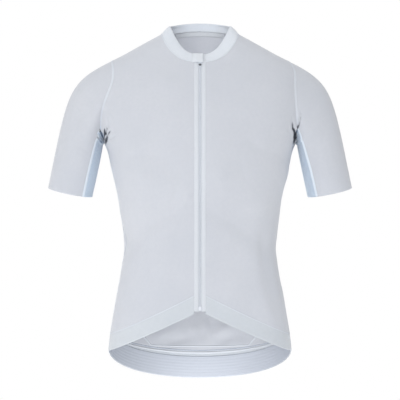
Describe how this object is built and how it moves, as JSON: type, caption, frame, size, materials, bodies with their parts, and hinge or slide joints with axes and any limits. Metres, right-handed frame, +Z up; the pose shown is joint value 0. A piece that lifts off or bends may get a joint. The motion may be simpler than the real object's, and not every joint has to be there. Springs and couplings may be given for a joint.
{
  "type": "cycling jersey",
  "caption": "Short-sleeved cycling jersey with full front zip, stand collar, mesh underarms, dropped back hem and rear pockets.",
  "frame": {"origin": "midway between the two points where the collar meets the shoulders, where the wearer holds the garment up", "axes": "+Z up along the wearer's spine, the front faces -Y, +X to the wearer's left"},
  "size_m": [0.5954, 0.2322, 0.7116],
  "materials": {
    "main_knit": "matt fine warp knit",
    "mesh": "matt open mesh knit",
    "collar_knit": "smooth matt knit",
    "hem_band": "smooth elastic band",
    "trim_tape": "flat woven tape",
    "zip_coil": "nylon coil",
    "zip_plastic": "moulded",
    "slider_metal": "satin painted",
    "tab_metal": "satin black"
  },
  "bodies": {
    "garment": {"front_right": "main_knit", "front_left": "main_knit", "back": "main_knit", "pocket_right": "main_knit", "pocket_centre": "main_knit", "pocket_left": "main_knit", "hem_front_right": "hem_band", "hem_front_left": "hem_band", "hem_back": "hem_band", "sleeve_right": "main_knit", "sleeve_left": "main_knit", "underarm_right": "mesh", "underarm_left": "mesh", "collar": "collar_knit", "neck_tape": "trim_tape", "zip_binding_right": "trim_tape", "zip_binding_left": "trim_tape", "zip_chain": "zip_coil", "zip_garage": "collar_knit", "zip_slider": "slider_metal", "zip_bridge": "slider_metal", "zip_box": "zip_plastic"},
    "pull_tab": {"zip_tab": "tab_metal"}
  },
  "joints": [
    {"name": "tab_swing", "type": "hinge", "parent": "garment", "child": "pull_tab", "pos_m": [0, -0.06744, -0.06325], "axis": [-1, 0, 0], "range_deg": [0, 110]}
  ]
}
